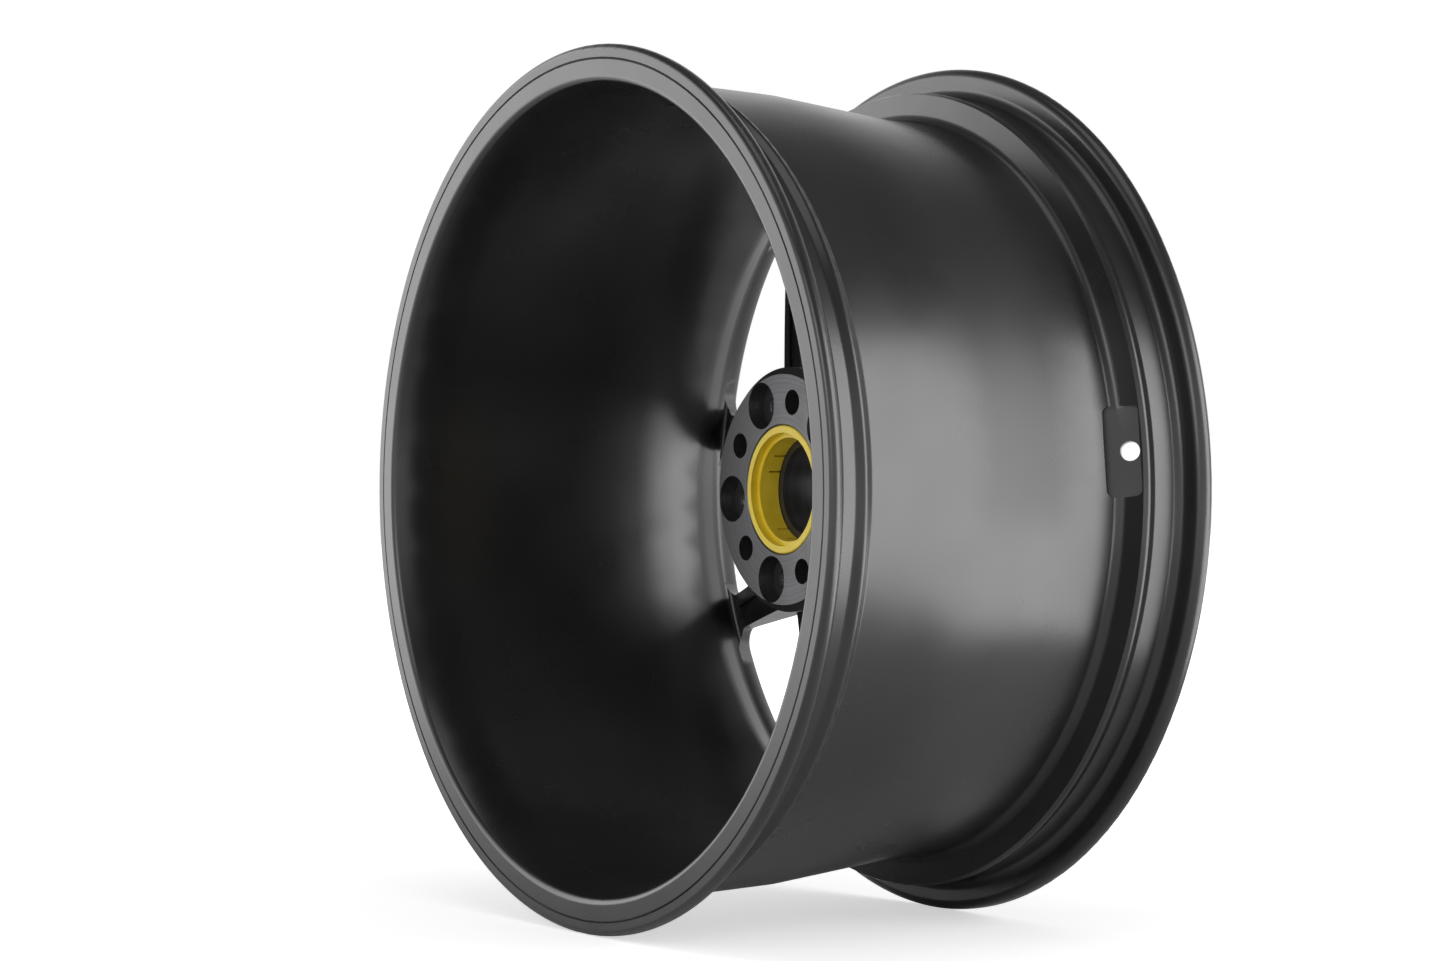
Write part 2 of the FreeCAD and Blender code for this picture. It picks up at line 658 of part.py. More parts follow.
def build_wheel():
    """One casting: rim, hub and ten spokes in five forked pairs."""
    body = new_body("alloy_wheel")
    revolve(body, "hub_and_spokes", disc_outline())
    cut_windows(body, "vee_window", HUB_DIRECTION, "sizes.vee_draft", "0")
    cut_windows(body, "pair_window", "sizes.bolt_direction", "0", "sizes.pair_draft",
                "sizes.pair_inner_reach")
    round_spoke_fronts(body)
    cut_spoke_channels(body)
    holes = revolve(body, "bolt_hole", bolt_hole_outline(), "PartDesign::Groove",
                    "-sizes.bolt_direction", "sizes.bolt_circle_dia / 2")
    repeat(body, "bolt_holes", holes, "sizes.spoke_count")
    above_pad = PAD_Y + " - sizes.pad_notch_depth"
    pocket_outer = PAD_R + " - sizes.pad_pocket_outer_wall"
    pocket = cut_along_y(body, "pad_pocket",
                         rectangle(BORE_R + " + sizes.pad_pocket_inner_wall", pocket_outer,
                                   "sizes.pad_pocket_width", "sizes.pad_pocket_round"),
                         above_pad, "sizes.pad_pocket_depth + sizes.pad_notch_depth", HUB_DIRECTION)
    repeat(body, "pad_pockets", pocket, "sizes.spoke_count")
    notch = cut_along_y(body, "pad_notch",
                        rectangle(pocket_outer + " - sizes.pad_pocket_round",
                                  PAD_R + " + sizes.pad_notch_depth", "sizes.pad_notch_width"),
                        above_pad, "2 * sizes.pad_notch_depth", HUB_DIRECTION)
    repeat(body, "pad_notches", notch, "sizes.spoke_count")
    doc.recompute()
    revolve(body, "rim", rim_outline())
    cut_valve(body)
    doc.recompute()
    return body


def adapter_outline():
    """Half section of the adapter: bevelled disc, stepped bore and the spigot towards the wheel."""
    face = HUB_FACE_Y
    outer = "sizes.adapter_dia / 2"
    bore = "sizes.adapter_bore_dia / 2"
    bore_end = face + " + sizes.adapter_bore_depth"
    inside = SPIGOT_R + " - sizes.spigot_wall"
    spigot_end = PAD_Y + " + sizes.spigot_length"
    return [
        (bore + " + sizes.adapter_bore_lead", face),
        (outer + " - sizes.adapter_bevel", face),
        (outer, face + " + sizes.adapter_bevel"),
        (outer, PAD_Y + " - sizes.adapter_edge"),
        (outer + " - sizes.adapter_edge", PAD_Y),
        (SPIGOT_R, PAD_Y),
        (SPIGOT_R, spigot_end + " - sizes.spigot_lead"),
        (SPIGOT_R + " - sizes.spigot_lead", spigot_end),
        (inside, spigot_end),
        (inside, bore_end),
        (bore, bore_end),
        (bore, face + " + sizes.adapter_bore_lead"),
    ]


def build_adapter():
    """Turned disc that bolts to the hub by one bolt circle and carries the wheel on another."""
    body = new_body("wheel_adapter")
    revolve(body, "adapter_disc", adapter_outline())
    wheel_axis = "sizes.bolt_circle_dia / 2"
    thread = wheel_axis + " + sizes.bolt_thread_dia / 2 + sizes.bolt_seat_gap"
    recess = wheel_axis + " + sizes.recess_dia / 2"
    recess_y = HUB_FACE_Y + " + sizes.recess_depth"
    below = HUB_FACE_Y + " - sizes.cut_overrun"
    above = PAD_Y + " + sizes.cut_overrun"
    wheel_hole = revolve(body, "thread_hole", [
        (wheel_axis, below),
        (recess, below),
        (recess, recess_y),
        (thread, recess_y),
        (thread, above),
        (wheel_axis, above),
    ], "PartDesign::Groove", "-sizes.bolt_direction", wheel_axis)
    repeat(body, "thread_holes", wheel_hole, "sizes.spoke_count")
    hub_axis = "sizes.hub_circle_dia / 2"
    shank = hub_axis + " + sizes.hub_bolt_hole_dia / 2"
    head = hub_axis + " + sizes.hub_head_dia / 2"
    head_y = PAD_Y + " - sizes.hub_head_depth"
    hub_hole = revolve(body, "hub_bolt_hole", [
        (hub_axis, below),
        (shank, below),
        (shank, head_y),
        (head, head_y),
        (head, above),
        (hub_axis, above),
    ], "PartDesign::Groove", "-" + HUB_DIRECTION, hub_axis)
    repeat(body, "hub_bolt_holes", hub_hole, "sizes.spoke_count")
    return body


def ring_cuts(body, name, nose_end, wall_in, wall_out):
    """Slits beside each snap tab, cut from the end of the nose."""
    gap = "(sizes.ring_tab_width / 2 + sizes.ring_slot_width / 2)"
    for side, sign in (("upper", ""), ("lower", "-")):
        low = sign + gap + " - sizes.ring_slot_width / 2"
        high = sign + gap + " + sizes.ring_slot_width / 2"
        slit = cut_along_y(body, "%s_slit_%s" % (name, side),
                           [(wall_in, low), (wall_out, low), (wall_out, high), (wall_in, high)],
                           nose_end + " - sizes.ring_slot_length", "2 * sizes.ring_slot_length",
                           HUB_DIRECTION)
        repeat(body, "%s_slits_%s" % (name, side), slit, "sizes.ring_tab_count")


def build_wheel_ring():
    """Snap-in ring between the wheel's centre bore and the adapter's spigot."""
    body = new_body("wheel_centring_ring")
    seat = PAD_Y + " + sizes.centre_bore_depth"
    start = seat + " - sizes.ring_band_length"
    end = seat + " + sizes.ring_nose_length"
    band = "(%s - sizes.ring_clearance)" % BORE_R
    inner = SPIGOT_R + " + sizes.ring_clearance"
    hook = NOSE_R + " + sizes.ring_hook_height"
    hook_y = end + " - sizes.ring_hook_length"
    edge = "sizes.ring_edge"
    revolve(body, "ring_band", [
        (band + " - sizes.ring_wall", start),
        (band + " - " + edge, start),
        (band, start + " + " + edge),
        (band, seat),
        (NOSE_R, seat),
        (NOSE_R, hook_y),
        (hook, hook_y),
        (hook, hook_y + " + " + edge),
        (NOSE_R + " - " + edge, end),
        (inner, end),
        (inner, start + " + sizes.ring_cup_depth"),
        (band + " - sizes.ring_wall", start + " + sizes.ring_cup_depth"),
    ])
    ring_cuts(body, "wheel_ring", end, inner + " - sizes.ring_wall", hook + " + sizes.ring_wall")
    return body


def build_hub_ring():
    """Snap-in ring between the adapter's bore and the car's hub, with a conical lead-in flange."""
    body = new_body("hub_centring_ring")
    start = HUB_FACE_Y + " + sizes.ring_clearance"
    band = "(sizes.adapter_bore_dia / 2 - sizes.ring_clearance)"
    lead = "(sizes.adapter_bore_dia / 2 + sizes.hub_ring_lead)"
    inner = "(sizes.adapter_bore_dia / 2 - sizes.ring_thick + sizes.ring_clearance)"
    end = HUB_FACE_Y + " + sizes.adapter_bore_depth - sizes.ring_edge"
    edge = "sizes.ring_edge"
    revolve(body, "ring_band", [
        (band + " - sizes.ring_wall", start),
        (lead + " - " + edge, start),
        (lead, start + " + " + edge),
        (band, start + " + " + edge + " + " + lead + " - " + band),
        (band, end + " - " + edge),
        (band + " - " + edge, end),
        (inner, end),
        (inner, start + " + sizes.ring_cup_depth"),
        (band + " - sizes.ring_wall", start + " + sizes.ring_cup_depth"),
    ])
    ring_cuts(body, "hub_ring", end, inner + " - sizes.ring_wall", band + " + sizes.ring_wall")
    return body


def build_bolts():
    """Five cone-seat bolts as one group of separate solids, each seated in the wheel's own cone."""
    body = new_body("wheel_bolts")
    axis = "sizes.bolt_circle_dia / 2"
    shank = "sizes.bolt_thread_dia / 2"
    collar = "sizes.bolt_collar_dia / 2"
    slack = "sizes.bolt_hole_clearance / tan(sizes.cone_half_angle)"
    cone_y = BOLT_SEAT_Y + " - " + slack + " + sizes.bolt_seat_gap"
    rise = "(sizes.bolt_collar_dia - sizes.bolt_thread_dia) / 2 / tan(sizes.cone_half_angle)"
    collar_y = cone_y + " + " + rise
    head_y = collar_y + " + sizes.bolt_collar_land"
    top_y = head_y + " + sizes.bolt_hex_height"
    tip_y = cone_y + " - sizes.bolt_shank_length"
    corner = "sizes.bolt_hex_across / 2 / cos(30)"
    chamfer = "sizes.bolt_hex_chamfer"
    turned = revolve(body, "bolt_blank", [
        (axis, tip_y),
        (axis + " + " + shank + " - sizes.bolt_tip_chamfer", tip_y),
        (axis + " + " + shank, tip_y + " + sizes.bolt_tip_chamfer"),
        (axis + " + " + shank, cone_y),
        (axis + " + " + collar, collar_y),
        (axis + " + " + collar, head_y),
        (axis + " + " + corner, head_y),
        (axis + " + " + corner, top_y + " - " + chamfer),
        (axis + " + " + corner + " - " + chamfer, top_y),
        (axis, top_y),
    ], turn="-sizes.bolt_direction", axis_reach=axis)
    flats = cut_along_y(body, "bolt_flats", [], head_y, "sizes.bolt_hex_height + sizes.bolt_hex_chamfer",
                        "sizes.bolt_direction")
    hexagon_cut(flats.Profile[0], axis)
    doc.recompute()
    pattern = body.newObject("PartDesign::PolarPattern", "bolt_ring")
    pattern.Originals = [turned, flats]
    pattern.Axis = (origin_feature(body, "Y_Axis"), [""])
    pattern.Angle = 360
    pattern.setExpression("Occurrences", "sizes.spoke_count")
    body.Tip = pattern
    return body


def hexagon_cut(sketch, axis):
    """Region between a hexagon across flats and a circle clear of its corners, both about axis."""
    centre = Vector(size(axis), 0, 0)
    flat = "sizes.bolt_hex_across / 2"
    for i in range(6):
        ends = []
        for turn in (60 * i - 30, 60 * i + 30):
            reach = "%s / cos(30)" % flat
            ends.append(("%s + %s * cos(%d)" % (axis, reach, turn), "%s * sin(%d)" % (reach, turn)))
        begin, finish = [Vector(size(e[0]), size(e[1]), 0) for e in ends]
        edge = sketch.addGeometry(Part.LineSegment(begin, finish), False)
        pin_point(sketch, edge, 1, ends[0])
        pin_point(sketch, edge, 2, ends[1])
    circle = Part.Circle(centre, Vector(0, 0, 1), size("sizes.bolt_collar_dia"))
    outer = sketch.addGeometry(circle, False)
    pin_point(sketch, outer, 3, (axis, "0"))
    bind(sketch, "Radius", (outer,), "sizes.bolt_collar_dia")


def check_cuts():
    """Every feature that takes material away leaves less than it began with."""
    cutters = ["PartDesign::" + kind for kind in ("Groove", "Pocket", "SubtractiveLoft", "Fillet")]
    for item in doc.Objects:
        if item.TypeId in cutters and item.Shape.Volume >= item.BaseFeature.Shape.Volume:
            raise RuntimeError(item.Name + " takes nothing away")


def main():
    """Builds every piece, checks the document and writes one STEP file for each node."""
    bodies = [build_wheel(), build_adapter(), build_wheel_ring(), build_hub_ring(), build_bolts()]
    doc.recompute()
    for item in doc.Objects:
        if "Invalid" in item.State or "Error" in item.State:
            raise RuntimeError("%s is %s" % (item.Name, item.State))
    check_cuts()
    os.makedirs("parts", exist_ok=True)
    for body in bodies:
        shape = body.Shape
        if shape.isNull() or not shape.isValid():
            raise RuntimeError(body.Label + " has no valid shape")
        shape.exportStep("parts/%s.step" % body.Label)
        print("%s: %d solids, %.2f cm3" % (body.Label, len(shape.Solids), shape.Volume / 1000))


main()
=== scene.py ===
"""Car wheel with its bolt-circle adapter, centring rings and bolts: the looks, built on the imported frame.

Everything is in metres in the part's own frame: Y is the axle, out of the road face, and Z is up.
"""
import logging
import math
from dataclasses import dataclass
from enum import Enum

import bmesh
import bpy
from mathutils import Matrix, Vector


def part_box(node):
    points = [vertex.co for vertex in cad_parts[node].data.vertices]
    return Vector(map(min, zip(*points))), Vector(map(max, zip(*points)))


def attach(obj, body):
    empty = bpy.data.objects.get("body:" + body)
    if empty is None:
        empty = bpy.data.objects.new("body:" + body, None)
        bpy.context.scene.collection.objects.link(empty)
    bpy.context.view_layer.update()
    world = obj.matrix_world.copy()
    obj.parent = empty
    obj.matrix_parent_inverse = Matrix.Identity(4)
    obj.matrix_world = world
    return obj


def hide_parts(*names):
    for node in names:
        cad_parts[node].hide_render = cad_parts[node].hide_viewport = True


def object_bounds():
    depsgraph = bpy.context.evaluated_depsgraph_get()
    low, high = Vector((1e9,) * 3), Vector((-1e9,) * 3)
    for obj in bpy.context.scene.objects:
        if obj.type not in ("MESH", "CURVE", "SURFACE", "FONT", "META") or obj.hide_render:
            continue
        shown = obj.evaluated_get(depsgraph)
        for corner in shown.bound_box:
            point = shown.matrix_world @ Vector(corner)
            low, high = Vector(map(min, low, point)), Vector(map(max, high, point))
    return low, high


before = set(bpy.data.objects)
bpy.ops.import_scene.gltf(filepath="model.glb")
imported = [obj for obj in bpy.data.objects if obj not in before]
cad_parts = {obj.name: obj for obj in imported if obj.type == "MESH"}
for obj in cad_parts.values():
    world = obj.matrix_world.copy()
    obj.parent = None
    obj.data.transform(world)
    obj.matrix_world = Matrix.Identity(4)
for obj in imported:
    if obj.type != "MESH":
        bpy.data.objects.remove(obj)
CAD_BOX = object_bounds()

LOG = logging.getLogger("car_wheel")
MM = 0.001
BODY = "root"
NOISE_RANGE = (0.3, 0.7)
MERGE_REACH = 0.002 * MM
ROUND_REACH = 0.01 * MM
ACROSS_ANGLE = 0.1
SAME_WAY = 0.9
LARGE_FACES_FIRST = 100


class Slot(Enum):
    """Material slots of the record; the log gives each piece's slot."""

    PAINT = "satin_black_paint"
    ANODISED = "black_anodised"
    LILAC = "lilac_plastic"
    YELLOW = "yellow_plastic"
    CHROME = "bolt_chrome"


class Shader:
    """One material's node tree, with short calls that add and join its nodes."""

    def __init__(self, name: str) -> None:
        """Starts a material that holds a Principled shader and its output.

        Args:
            name: Name of the material.
        """
        self.material = bpy.data.materials.new(name)
        self.material.use_nodes = True
        self.tree = self.material.node_tree
        self.surface = self.tree.nodes["Principled BSDF"]
        self.place = self.add("ShaderNodeTexCoord").outputs["Object"]

    def add(self, kind: str, **settings: object) -> bpy.types.Node:
        """Adds a node and sets its properties.

        Args:
            kind: Node type.
            settings: Properties of the node by name.

        Returns:
            The new node.
        """
        node = self.tree.nodes.new(kind)
        for key, value in settings.items():
            setattr(node, key, value)
        return node

    def join(self, source: bpy.types.NodeSocket, target: bpy.types.NodeSocket) -> None:
        """Links an output to an input."""
        self.tree.links.new(source, target)

    def set(self, **values: object) -> None:
        """Sets the shader's constant values, with underscores for the spaces in a socket's name."""
        for key, value in values.items():
            self.surface.inputs[key.replace("_", " ")].default_value = value

    def noise(
        self, scale: float, detail: float = 3.0, place: bpy.types.NodeSocket | None = None
    ) -> bpy.types.NodeSocket:
        """Noise over the piece.

        Args:
            scale: Patches for each metre.
            detail: Octaves of the noise.
            place: Coordinates to read, the piece's own where none are given.

        Returns:
            The noise's factor, about 0.3 to 0.7.
        """
        node = self.add("ShaderNodeTexNoise")
        node.inputs["Scale"].default_value = scale
        node.inputs["Detail"].default_value = detail
        self.join(place or self.place, node.inputs["Vector"])
        return node.outputs["Fac"]

    def spread(self, factor: bpy.types.NodeSocket, low: float, high: float) -> bpy.types.NodeSocket:
        """Maps a noise's usual range to two values.

        Args:
            factor: Noise factor.
            low: Value where the noise is low.
            high: Value where the noise is high.

        Returns:
            The mapped value.
        """
        node = self.add("ShaderNodeMapRange")
        node.inputs["From Min"].default_value = NOISE_RANGE[0]
        node.inputs["From Max"].default_value = NOISE_RANGE[1]
        node.inputs["To Min"].default_value = low
        node.inputs["To Max"].default_value = high
        self.join(factor, node.inputs["Value"])
        return node.outputs["Result"]

    def tint(self, factor: bpy.types.NodeSocket, dark: tuple, light: tuple) -> None:
        """Colours the surface between two tones by a noise.

        Args:
            factor: Noise factor.
            dark: Linear colour where the noise is low.
            light: Linear colour where the noise is high.
        """
        node = self.add("ShaderNodeValToRGB")
        for stop, position, colour in zip(node.color_ramp.elements, NOISE_RANGE, (dark, light)):
            stop.position = position
            stop.color = (*colour, 1.0)
        self.join(factor, node.inputs["Fac"])
        self.join(node.outputs["Color"], self.surface.inputs["Base Color"])

    def bump(self, height: bpy.types.NodeSocket, distance: float, strength: float = 1.0) -> None:
        """Adds a bump on top of the bumps that are there.

        Args:
            height: Height pattern from 0 to 1.
            distance: Depth of the pattern in metres.
            strength: Share of the bump that shows.
        """
        node = self.add("ShaderNodeBump")
        node.inputs["Strength"].default_value = strength
        node.inputs["Distance"].default_value = distance
        self.join(height, node.inputs["Height"])
        normal = self.surface.inputs["Normal"]
        if normal.is_linked:
            self.join(normal.links[0].from_socket, node.inputs["Normal"])
        self.join(node.outputs["Normal"], normal)

    def turned_place(self) -> bpy.types.NodeSocket:
        """Coordinates of a turned piece: distance from the axle and height along it, the same all round.

        Returns:
            A vector socket with the radius as x and the height as y.
        """
        parts = self.add("ShaderNodeSeparateXYZ")
        self.join(self.place, parts.inputs[0])
        flat = self.add("ShaderNodeCombineXYZ")
        self.join(parts.outputs["X"], flat.inputs["X"])
        self.join(parts.outputs["Z"], flat.inputs["Y"])
        radius = self.add("ShaderNodeVectorMath", operation="LENGTH")
        self.join(flat.outputs[0], radius.inputs[0])
        turned = self.add("ShaderNodeCombineXYZ")
        self.join(radius.outputs["Value"], turned.inputs["X"])
        self.join(parts.outputs["Y"], turned.inputs["Y"])
        return turned.outputs[0]


@dataclass(frozen=True)
class SatinPaint:
    """Satin black paint on a casting, with a faint orange peel and a little haze in its gloss."""

    name: str = "satin black paint"
    dark: tuple = (0.010, 0.010, 0.011)
    light: tuple = (0.018, 0.018, 0.019)
    tone_scale: float = 9.0
    gloss: tuple = (0.26, 0.33)
    haze_scale: float = 22.0
    haze_detail: float = 5.0
    coat: float = 0.30
    coat_roughness: float = 0.26
    peel_scale: float = 700.0
    peel_depth: float = 0.02 * MM
    peel_share: float = 0.5

    def material(self) -> bpy.types.Material:
        """Builds the paint.

        Returns:
            The material.
        """
        shader = Shader(self.name)
        shader.set(Specular_IOR_Level=0.5, Coat_Weight=self.coat, Coat_Roughness=self.coat_roughness)
        shader.tint(shader.noise(self.tone_scale), self.dark, self.light)
        haze = shader.noise(self.haze_scale, self.haze_detail)
        shader.join(shader.spread(haze, *self.gloss), shader.surface.inputs["Roughness"])
        shader.bump(shader.noise(self.peel_scale, 2.0), self.peel_depth, self.peel_share)
        return shader.material


@dataclass(frozen=True)
class BareAlloy:
    """Machined aluminium with the fine rings that a lathe tool leaves."""

    name: str = "bare machined alloy"
    dark: tuple = (0.62, 0.62, 0.63)
    light: tuple = (0.78, 0.78, 0.79)
    streak_scale: float = 900.0
    gloss: tuple = (0.24, 0.36)
    haze_scale: float = 60.0
    rings: float = 2600.0
    ring_depth: float = 0.012 * MM

    def material(self) -> bpy.types.Material:
        """Builds the metal.

        Returns:
            The material.
        """
        shader = Shader(self.name)
        turned = shader.turned_place()
        shader.set(Metallic=1.0)
        shader.tint(shader.noise(self.streak_scale, 2.0, turned), self.dark, self.light)
        haze = shader.noise(self.haze_scale)
        shader.join(shader.spread(haze, *self.gloss), shader.surface.inputs["Roughness"])
        shader.bump(shader.noise(self.rings, 1.0, turned), self.ring_depth)
        return shader.material


@dataclass(frozen=True)
class AnodisedAlloy:
    """Turned aluminium, anodised black, with tool rings that show through."""

    name: str = "black anodised alloy"
    dark: tuple = (0.055, 0.055, 0.058)
    light: tuple = (0.095, 0.095, 0.100)
    metal: float = 0.6
    sheen: float = 0.6
    streak_scale: float = 700.0
    gloss: tuple = (0.27, 0.36)
    haze_scale: float = 45.0
    rings: float = 2200.0
    ring_depth: float = 0.008 * MM

    def material(self) -> bpy.types.Material:
        """Builds the anodised metal.

        Returns:
            The material.
        """
        shader = Shader(self.name)
        turned = shader.turned_place()
        shader.set(Metallic=self.metal, Specular_IOR_Level=self.sheen)
        shader.tint(shader.noise(self.streak_scale, 2.0, turned), self.dark, self.light)
        haze = shader.noise(self.haze_scale)
        shader.join(shader.spread(haze, *self.gloss), shader.surface.inputs["Roughness"])
        shader.bump(shader.noise(self.rings, 1.0, turned), self.ring_depth)
        return shader.material


@dataclass(frozen=True)
class MouldedPlastic:
    """Semi-gloss moulded plastic with a fine grain and a slightly uneven colour."""

    name: str
    dark: tuple
    light: tuple
    tone_scale: float = 80.0
    gloss: tuple = (0.30, 0.42)
    haze_scale: float = 160.0
    grain_scale: float = 2500.0
    grain_depth: float = 0.02 * MM
    grain_share: float = 0.6

    def material(self) -> bpy.types.Material:
        """Builds the plastic.

        Returns:
            The material.
        """
        shader = Shader(self.name)
        shader.set(Specular_IOR_Level=0.5)
        shader.tint(shader.noise(self.tone_scale), self.dark, self.light)
        haze = shader.noise(self.haze_scale)
        shader.join(shader.spread(haze, *self.gloss), shader.surface.inputs["Roughness"])
        shader.bump(shader.noise(self.grain_scale, 2.0), self.grain_depth, self.grain_share)
        return shader.material


@dataclass(frozen=True)
class PlatedSteel:
    """Bright plated steel with faint wipe marks."""

    name: str = "bright plated steel"
    dark: tuple = (0.60, 0.60, 0.62)
    light: tuple = (0.80, 0.80, 0.82)
    tone_scale: float = 240.0
    gloss: tuple = (0.08, 0.20)
    haze_scale: float = 300.0
    haze_detail: float = 4.0
    wipe_scale: float = 1800.0
    wipe_depth: float = 0.004 * MM
    wipe_share: float = 0.5

    def material(self) -> bpy.types.Material:
        """Builds the plating.

        Returns:
            The material.
        """
        shader = Shader(self.name)
        shader.set(Metallic=1.0)
        shader.tint(shader.noise(self.tone_scale), self.dark, self.light)
        haze = shader.noise(self.haze_scale, self.haze_detail)
        shader.join(shader.spread(haze, *self.gloss), shader.surface.inputs["Roughness"])
        shader.bump(shader.noise(self.wipe_scale, 2.0), self.wipe_depth, self.wipe_share)
        return shader.material


def link(name: str, mesh: bpy.types.Mesh) -> bpy.types.Object:
    """Puts a mesh into the scene as an object at the origin.

    Args:
        name: Name of the object.
        mesh: Its mesh.

    Returns:
        The object.
    """
    piece = bpy.data.objects.new(name, mesh)
    bpy.context.scene.collection.objects.link(piece)
    return piece


def plain_mesh(piece: bpy.types.Object) -> None:
    """Turns a piece's modifiers into its own mesh and removes them.

    Args:
        piece: Piece with the modifiers.
    """
    graph = bpy.context.evaluated_depsgraph_get()
    result = bpy.data.meshes.new_from_object(piece.evaluated_get(graph), depsgraph=graph)
    piece.modifiers.clear()
    piece.data = result


@dataclass(frozen=True)
class Round:
    """A rounded edge all round the axle: the middle of its section and its radius, in millimetres."""

    reach: float
    height: float
    radius: float

    def offset(self, place: Vector) -> Vector:
        """Gives a point's place in the section, from the middle of the round."""
        return Vector((math.hypot(place.x, place.z) - self.reach * MM, place.y - self.height * MM))

    def refine(self, shape: bmesh.types.BMesh, cuts: int = 1) -> None:
        """Divides the coarse facets across the round and sets the new points on it.

        Args:
            shape: Mesh that has the rounded edge.
            cuts: New points on each facet's edge.
        """
        radius = self.radius * MM
        on_round = {vert for vert in shape.verts if abs(self.offset(vert.co).length - radius) < ROUND_REACH}
        across = set()
        for face in shape.faces:
            if on_round.issuperset(face.verts):
                for edge in face.edges:
                    first, last = (self.offset(vert.co) for vert in edge.verts)
                    if first.angle(last) > ACROSS_ANGLE:
                        across.add(edge)
        divided = bmesh.ops.subdivide_edges(shape, edges=list(across), cuts=cuts)
        parts = divided["geom_split"] + divided["geom_inner"]
        for vert in (part for part in parts if isinstance(part, bmesh.types.BMVert)):
            offset = self.offset(vert.co)
            offset *= radius / offset.length
            stretch = (self.reach * MM + offset.x) / math.hypot(vert.co.x, vert.co.z)
            vert.co = (vert.co.x * stretch, self.height * MM + offset.y, vert.co.z * stretch)
        LOG.info("round at %.1f, %.1f: %d edges divided", self.reach, self.height, len(across))

    def normal(self, place: Vector) -> Vector | None:
        """Gives the direction of the round's surface at a point on it.

        Args:
            place: The point.

        Returns:
            The direction out of the round's middle, or none where the point isn't on the round.
        """
        offset = self.offset(place)
        if abs(offset.length - self.radius * MM) > ROUND_REACH:
            return None
        outward = offset.normalized()
        around = math.hypot(place.x, place.z)
        return Vector((outward.x * place.x / around, outward.y, outward.x * place.z / around))


def shade_rounds(mesh: bpy.types.Mesh, rounds: tuple) -> None:
    """Sets the exact shading of rounded edges, and of the faces that run into them.

    Args:
        mesh: Mesh with the rounded edges.
        rounds: The rounded edges.
    """
    normals = [Vector(corner.vector) for corner in mesh.corner_normals]
    exact = {}
    for vert in mesh.vertices:
        found = (item.normal(vert.co) for item in rounds)
        exact[vert.index] = next((way for way in found if way), None)
    for face in mesh.polygons:
        for corner in face.loop_indices:
            way = exact[mesh.loops[corner].vertex_index]
            if way and abs(way.dot(face.normal)) > SAME_WAY:
                normals[corner] = way if way.dot(face.normal) > 0 else -way
    mesh.normals_split_custom_set(normals)


def smooth_copy(node: str, name: str, crease: float, rounds: tuple = ()) -> bpy.types.Object:
    """Copies a CAD node with its triangles joined, shaded smooth up to an angle.

    Args:
        node: CAD node to copy.
        name: Name of the new piece.
        crease: Angle in degrees above which an edge stays sharp.
        rounds: Rounded edges that are made finer.

    Returns:
        The new piece.
    """
    shape = bmesh.new()
    shape.from_mesh(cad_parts[node].data)
    bmesh.ops.remove_doubles(shape, verts=shape.verts, dist=MERGE_REACH)
    bmesh.ops.dissolve_degenerate(shape, edges=shape.edges, dist=MERGE_REACH)
    for item in rounds:
        item.refine(shape)
    limit = math.radians(crease)
    for edge in shape.edges:
        edge.smooth = edge.is_manifold and edge.calc_face_angle() < limit
    for face in shape.faces:
        face.smooth = True
    mesh = bpy.data.meshes.new(name)
    shape.to_mesh(mesh)
    shape.free()
    if "custom_normal" in mesh.attributes:
        mesh.attributes.remove(mesh.attributes["custom_normal"])
    piece = link(name, mesh)
    weighted = piece.modifiers.new("even_shading", "WEIGHTED_NORMAL")
    weighted.keep_sharp = True
    weighted.weight = LARGE_FACES_FIRST
    plain_mesh(piece)
    shade_rounds(piece.data, rounds)
    return piece


def fit(piece: bpy.types.Object, node: str, slot: Slot) -> None:
    """Sets a piece on the frame in place of a CAD node.

    Args:
        piece: The finished piece.
        node: CAD node that it stands for.
        slot: Record slot of its finish.
    """
    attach(piece, BODY)
    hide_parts(node)
    LOG.info("%s: %d faces, %s", piece.name, len(piece.data.polygons), slot.value)


@dataclass
class CastWheel:
    """The wheel itself: painted casting with a bare machined pad."""

    node: str = "alloy_wheel"
    crease: float = 42.0
    pad_height: float = 40.0 * MM
    pad_radius: float = 74.6 * MM
    pad_depth: float = 1.1 * MM
    pad_facing: float = -0.6
    rounds: tuple = (
        Round(257.5, -127.15, 3.5), Round(255.0, -126.65, 6.0), Round(243.119, -126.15, 4.5),
        Round(249.221, -114.65, 6.0), Round(245.777, -103.431, 3.5), Round(241.104, -97.466, 3.5),
        Round(244.442, -90.37, 3.5), Round(232.9, 85.121, 6.0), Round(241.393, 96.954, 3.5),
        Round(245.777, 103.431, 3.5), Round(229.991, 112.679, 3.0), Round(249.221, 114.65, 6.0),
        Round(255.0, 126.65, 6.0), Round(257.5, 127.15, 3.5), Round(246.884, 128.15, 2.5),
    )

    def build(self) -> bpy.types.Object:
        """Makes the smooth casting.

        Returns:
            The wheel's piece.
        """
        return smooth_copy(self.node, "wheel_casting", self.crease, self.rounds)

    def dress(self, piece: bpy.types.Object, paint: SatinPaint, bare: BareAlloy) -> None:
        """Paints the casting and leaves the pad's face bare.

        Args:
            piece: The wheel's piece.
            paint: Finish of the casting.
            bare: Finish of the pad.
        """
        piece.data.materials.clear()
        piece.data.materials.append(paint.material())
        piece.data.materials.append(bare.material())
        for face in piece.data.polygons:
            centre = face.center
            level = abs(centre.y - self.pad_height) < self.pad_depth
            inside = math.hypot(centre.x, centre.z) < self.pad_radius
            if level and inside and face.normal.y < self.pad_facing:
                face.material_index = 1
        fit(piece, self.node, Slot.PAINT)


